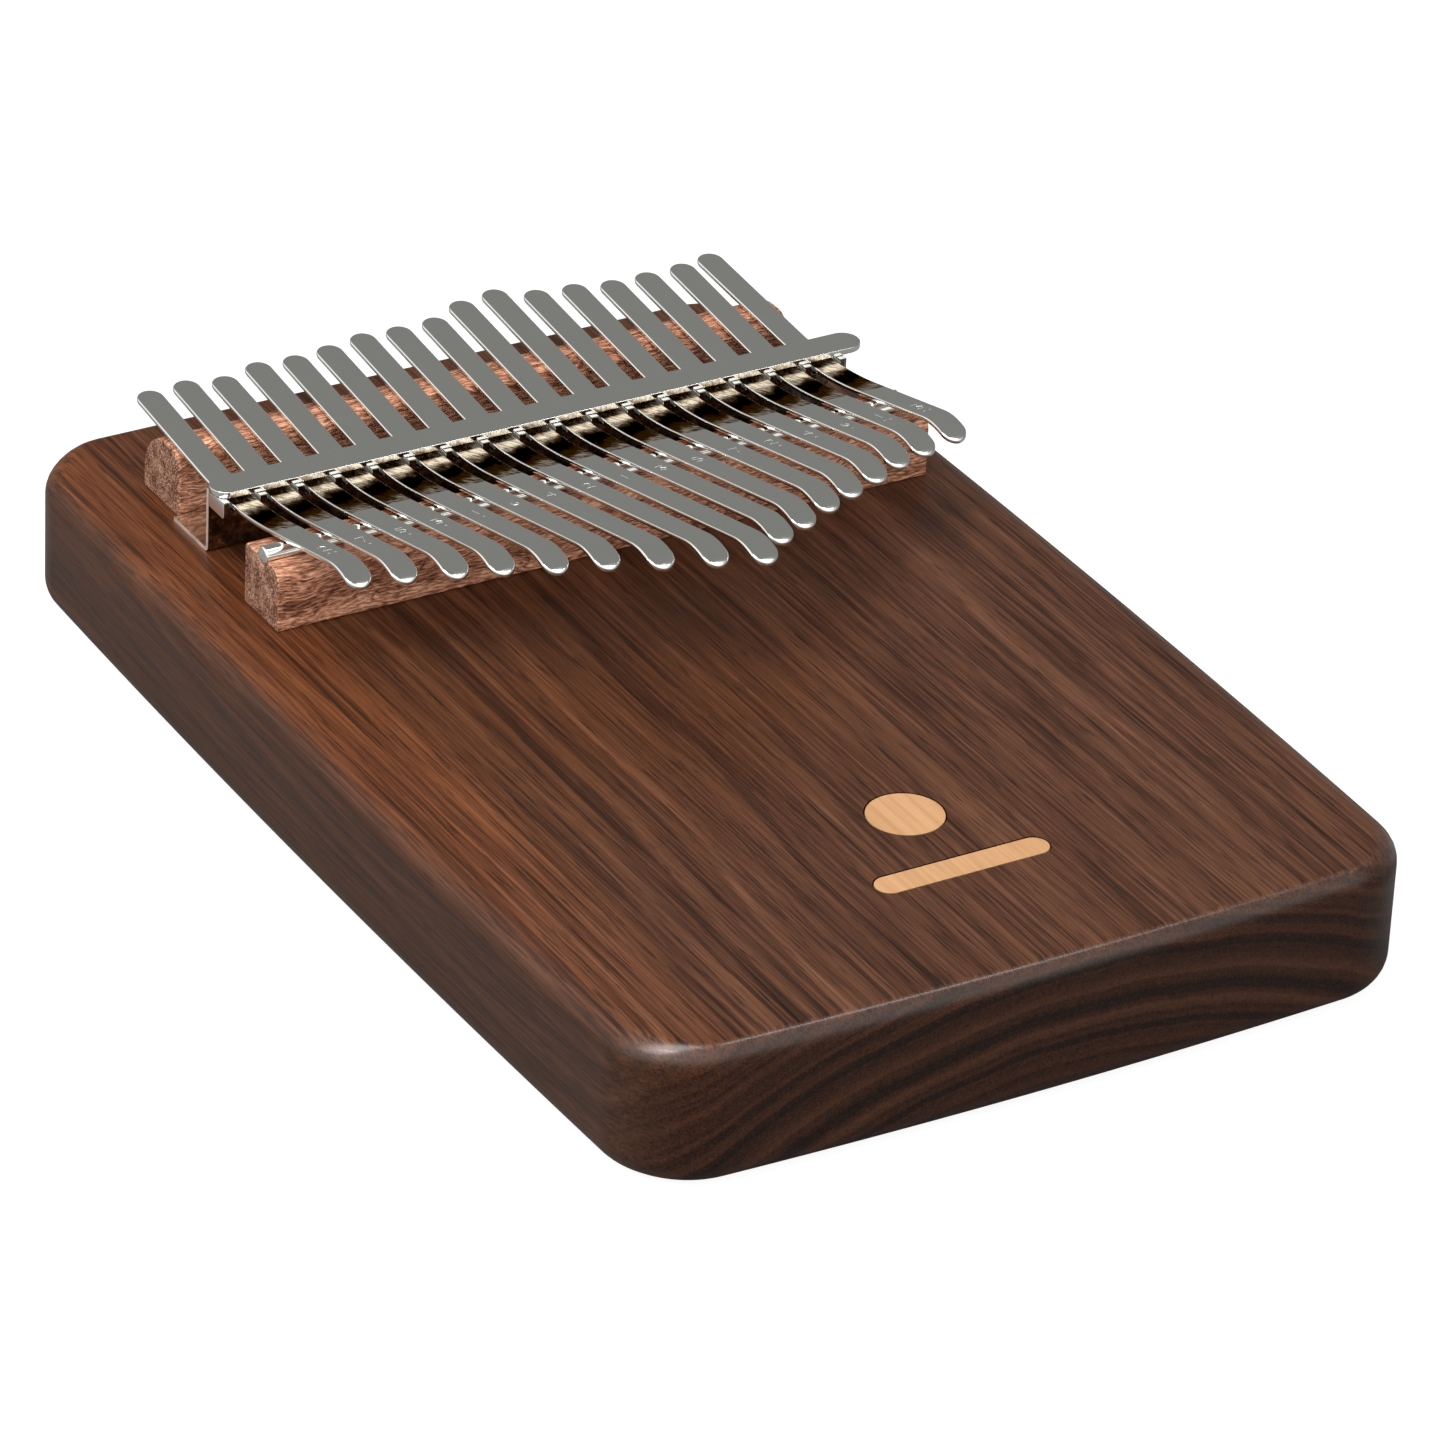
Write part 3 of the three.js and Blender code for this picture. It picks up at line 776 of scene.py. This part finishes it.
def mark_strokes(n):
    """The strokes of a tine's number and dots, as pairs of plan points."""
    degree, dots = DEGREES[n]
    size, left, base = 1.35 * MM, PIVOTS[n].x - 0.7 * MM, ROD_Y - 10.2 * MM
    strokes = []
    for line in DIGITS[degree]:
        spots = [Vector((left + u * size, base + v * size)) for u, v in line]
        strokes += list(zip(spots, spots[1:]))
    spread, half_dot, drop = 1.1 * MM, 0.15 * MM, 1.5 * MM
    for i in range(dots):
        x = PIVOTS[n].x + (i - (dots - 1) / 2) * spread
        strokes.append((Vector((x - half_dot, base - drop)), Vector((x + half_dot, base - drop))))
    return strokes


def turned(n, x, y, z):
    """A point of tine n, turned about its clamp as the tine is."""
    angle = math.radians(TURN[n])
    across, along = x - PIVOTS[n].x, y - TURN_Y
    return (PIVOTS[n].x + across * math.cos(angle) - along * math.sin(angle),
            TURN_Y + across * math.sin(angle) + along * math.cos(angle), z)


def reach_of(n):
    """The tip and rear positions of a tine along its own axis, from the turned CAD box."""
    half, cosine = TINE_WIDTH / 2, math.cos(math.radians(TURN[n]))
    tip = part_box(f"tine_{n + 1}_tongue")[0].y + half
    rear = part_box(f"tine_{n + 1}_root")[1].y - half
    return TURN_Y + (tip - TURN_Y) / cosine - half, TURN_Y + (rear - TURN_Y) / cosine + half


def build_marks(n, tip_y):
    """Raised burrs of the engraved number: little ridges with a triangular section."""
    points, faces = [], []
    half, crest, sink = 0.13 * MM, 0.06 * MM, 0.03 * MM
    for start, end in mark_strokes(n):
        run = (end - start).normalized()
        side = Vector((-run.y, run.x)) * half
        base = len(points)
        for spot in (start - run * half, end + run * half):
            for plan in (spot - side, spot + side):
                points.append(turned(n, plan.x, plan.y, tine_height(plan.y, tip_y) - sink))
        for spot in (start, end):
            points.append(turned(n, spot.x, spot.y, tine_height(spot.y, tip_y) + crest))
        a, b, c, d, e, f = range(base, base + 6)
        faces += [(a, c, d, b), (a, b, e), (c, f, d), (a, e, f, c), (b, d, f, e)]
    marks = make(f"tine_{n + 1}_marks", points, faces, MARK_STEEL, 5)
    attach(marks, f"tongue_{n + 1}")


def build_tine(n):
    """Tine n as one strip, lying over the rod."""
    tip_y, rear_y = reach_of(n)
    x, step = PIVOTS[n].x, MM
    stations = [tip_y + step * i for i in range(1, int((rear_y - tip_y) / step))]

    def place(along, across, depth):
        return turned(n, x - across, along, tine_height(along, tip_y) - depth)

    points, faces = long_bar(tip_y, rear_y, TINE_WIDTH / 2, stations, place,
                             TINE_THICKNESS, TINE_EDGE, TINE_EDGE)
    tine = flat_normals(make(f"tine_{n + 1}", points, faces, SPRING_STEEL))
    height = tine_height(ROD_Y, tip_y)
    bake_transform(tine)
    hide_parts(f"tine_{n + 1}_root", f"tine_{n + 1}_tongue")
    build_marks(n, tip_y)


# ---------- stage ----------

def area_light(name, place, width, height, watts):
    """A rectangular light that faces the middle of the board."""
    light = bpy.data.lights.new(name, "AREA")
    light.shape, light.size, light.size_y, light.energy = "RECTANGLE", width, height, watts
    obj = bpy.data.objects.new(name, light)
    bpy.context.scene.collection.objects.link(obj)
    obj.location = place
    obj.rotation_euler = (-Vector(place)).to_track_quat("-Z", "Y").to_euler()


def build_world():
    """An even grey studio with broad, soft glows from behind on the left and from the front."""
    world = bpy.data.worlds.new("studio")
    bpy.context.scene.world = world
    world.use_nodes = True
    n = Nodes(world.node_tree)
    background = world.node_tree.nodes["Background"]
    direction = n.node("ShaderNodeTexCoord").outputs["Generated"]

    def glow(aim, start, strength):
        facing = n.node("ShaderNodeVectorMath", {0: direction, 1: Vector(aim).normalized()},
                        operation="DOT_PRODUCT")
        return n.times(n.smooth(facing.outputs["Value"], start, 1.0), strength)

    rear_left = glow((-0.86, 0.30, 0.42), 0.35, 0.9)
    front = glow((-0.15, -0.85, 0.50), 0.30, 1.05)
    strength = n.add(0.212, rear_left, front)
    n.set(background, {"Color": (0.995, 1.0, 0.975, 1), "Strength": strength})


def build_floor():
    """A pale floor, open below the board and clear from underneath, so that the underside sees light."""
    paint = Shader("white_floor", Roughness=0.9)
    seen = paint.node("ShaderNodeLightPath").outputs["Is Camera Ray"]
    below = paint.node("ShaderNodeNewGeometry").outputs["Backfacing"]
    paint.set(paint.surface, {
        "Base Color": (0.24, 0.24, 0.24, 1), "Specular IOR Level": 0.0,
        "Emission Color": (1, 1, 1, 1), "Emission Strength": paint.times(seen, 0.90),
        "Alpha": paint.add(1.0, paint.times(below, -1.0)),
    })
    hole = board_ring(2 * ROUND_BELOW, 2 * ROUND_BELOW, 0)
    rim = [Vector(p).normalized() * FLOOR_REACH for p in hole]
    count = len(hole)
    faces = [(i, (i + 1) % count, count + (i + 1) % count, count + i) for i in range(count)]
    floor = make("floor", [*hole, *rim], faces, paint.material)
    if floor.data.polygons[0].normal.z < 0:
        floor.data.flip_normals()


def build_stage():
    bpy.context.scene.view_settings.view_transform = "Standard"
    build_world()
    build_floor()
    area_light("overhead", (-0.55, -0.1, 1.2), 0.5, 1.2, 10)
    area_light("front_edge_glint", (0.49, -0.16, 1.13), 0.12, 0.30, 1.0)
    area_light("corner_glint", (-0.60, -0.26, 1.0), 0.14, 0.14, 1.2)


def build_camera():
    azimuth, elevation = math.radians(CAMERA_AZIMUTH), math.radians(CAMERA_ELEVATION)
    roll = math.radians(CAMERA_ROLL)
    back = Vector((math.sin(azimuth) * math.cos(elevation), -math.cos(azimuth) * math.cos(elevation),
                   math.sin(elevation)))
    level = Vector((math.cos(azimuth), math.sin(azimuth), 0))
    right = level * math.cos(roll) + back.cross(level) * math.sin(roll)
    up = back.cross(right)
    data = bpy.data.cameras.new("camera")
    data.sensor_width, data.sensor_fit, data.lens = CAMERA_SENSOR, "HORIZONTAL", CAMERA_LENS
    data.clip_start, data.clip_end = 0.05, 20
    camera = bpy.data.objects.new("camera", data)
    bpy.context.scene.collection.objects.link(camera)
    turn = Matrix((right, up, back)).transposed().to_4x4()
    camera.matrix_world = Matrix.Translation(CAMERA_AIM + back * CAMERA_DISTANCE) @ turn
    bpy.context.scene.camera = camera


build_board()
build_rear_bar()
build_front_bar()
build_rod()
build_bracket()
build_anvil()
build_strip()
build_screws()
for number in range(TINES):
    build_tine(number)
build_stage()
build_camera()
